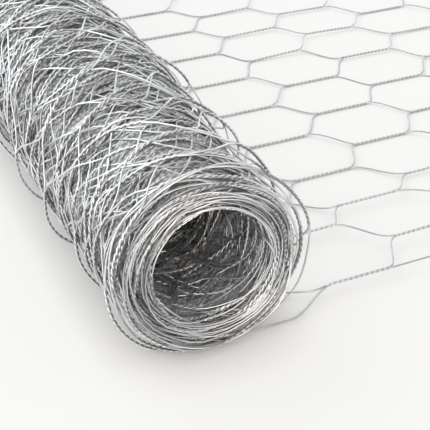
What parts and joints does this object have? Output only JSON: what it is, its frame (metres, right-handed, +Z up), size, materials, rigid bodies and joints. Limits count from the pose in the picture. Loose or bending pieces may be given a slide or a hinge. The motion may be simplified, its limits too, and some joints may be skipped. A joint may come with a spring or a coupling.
{
  "type": "roll of chicken wire",
  "caption": "Roll of galvanised hexagonal wire netting lying on its side, with its last part unrolled flat on the floor, for fencing, cages and craft work.",
  "frame": {"origin": "on the floor, under the middle of the whole piece: the roll and its loose end together", "axes": "+X the way the netting unrolls, from the roll to the cut end; +Y along the roll's axis; +Z up"},
  "size_m": [0.496, 0.602, 0.1],
  "materials": {
    "galvanised_wire": "bright galvanised zinc, slightly uneven"
  },
  "bodies": {
    "root": {"wound_roll": "galvanised_wire", "loose_end": "galvanised_wire"}
  },
  "joints": []
}
